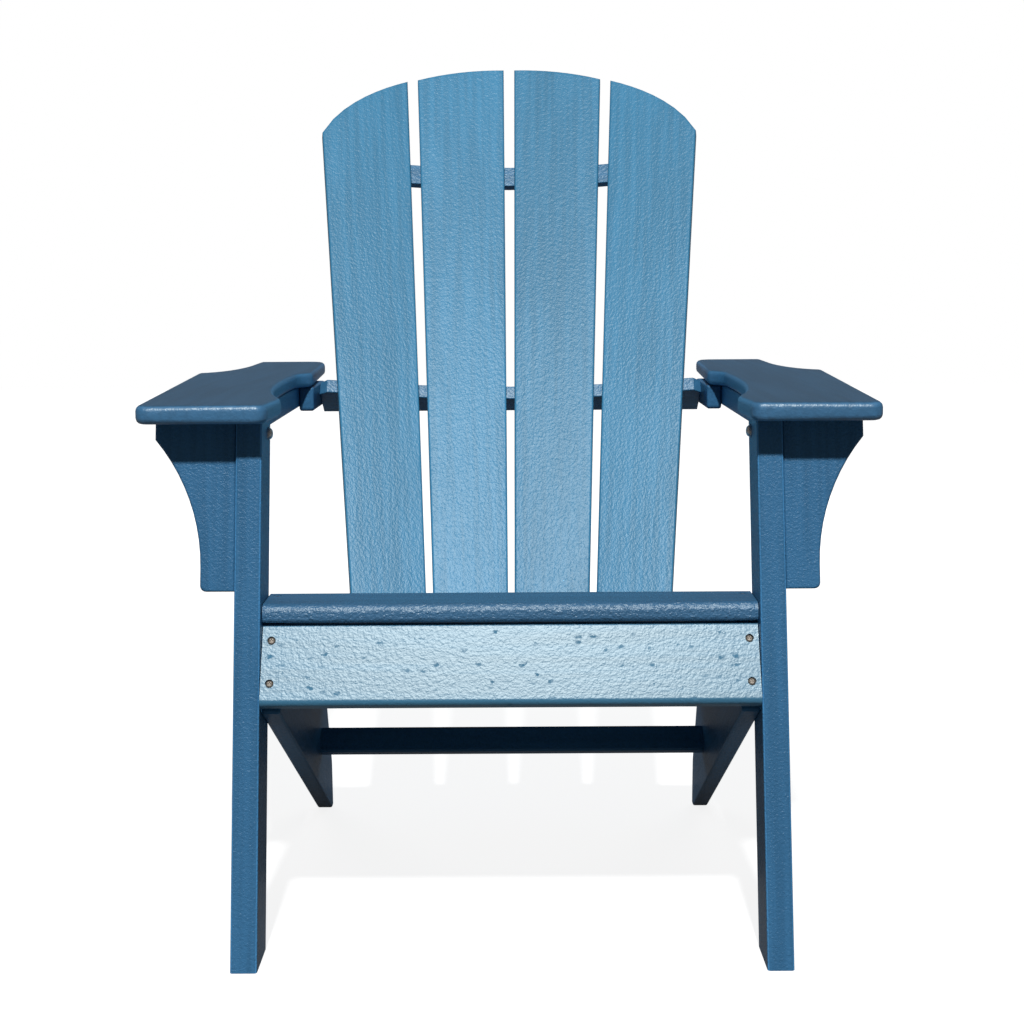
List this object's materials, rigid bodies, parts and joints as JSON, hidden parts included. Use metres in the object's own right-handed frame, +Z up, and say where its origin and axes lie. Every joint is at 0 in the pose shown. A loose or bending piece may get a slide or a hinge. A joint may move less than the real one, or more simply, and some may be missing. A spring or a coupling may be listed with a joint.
{
  "type": "adirondack chair",
  "caption": "Outdoor lounge chair of solid plastic boards, with a fanned and dished slat back, a sloping slatted seat and wide arms on curved brackets.",
  "frame": {"origin": "on the ground, midway across the chair and midway between its frontmost and rearmost points", "axes": "+X to the right as seen from in front of the chair; +Y to the rear; +Z up. Left and right in the names are as seen from in front"},
  "size_m": [0.818, 0.9692, 0.978],
  "materials": {
    "blue_board": "orange-peel textured solid polyethylene board, mid steel blue",
    "stainless_steel": "plain stainless steel"
  },
  "bodies": {
    "root": {"left_front_leg": "blue_board", "right_front_leg": "blue_board", "left_stringer": "blue_board", "right_stringer": "blue_board", "front_apron": "blue_board", "front_seat_slat": "blue_board", "seat_slat_1": "blue_board", "seat_slat_2": "blue_board", "seat_slat_3": "blue_board", "seat_slat_4": "blue_board", "rear_seat_board": "blue_board", "rear_stretcher": "blue_board", "back_slat_1": "blue_board", "back_slat_2": "blue_board", "back_slat_3": "blue_board", "back_slat_4": "blue_board", "middle_back_rail": "blue_board", "upper_back_rail": "blue_board", "left_arm": "blue_board", "right_arm": "blue_board", "left_arm_rail": "blue_board", "right_arm_rail": "blue_board", "left_arm_bracket": "blue_board", "right_arm_bracket": "blue_board", "left_arm_block": "blue_board", "right_arm_block": "blue_board", "apron_screws": "stainless_steel", "seat_screws": "stainless_steel", "lower_back_screws": "stainless_steel", "middle_back_screws": "stainless_steel", "upper_back_screws": "stainless_steel", "arm_screws": "stainless_steel", "bracket_screws": "stainless_steel", "arm_block_screws": "stainless_steel", "back_rail_end_screws": "stainless_steel", "stretcher_screws": "stainless_steel", "stringer_bolts": "stainless_steel", "stringer_washers": "stainless_steel", "stringer_nuts": "stainless_steel", "arm_rail_bolts": "stainless_steel", "arm_rail_washers": "stainless_steel", "arm_rail_nuts": "stainless_steel"}
  },
  "joints": []
}
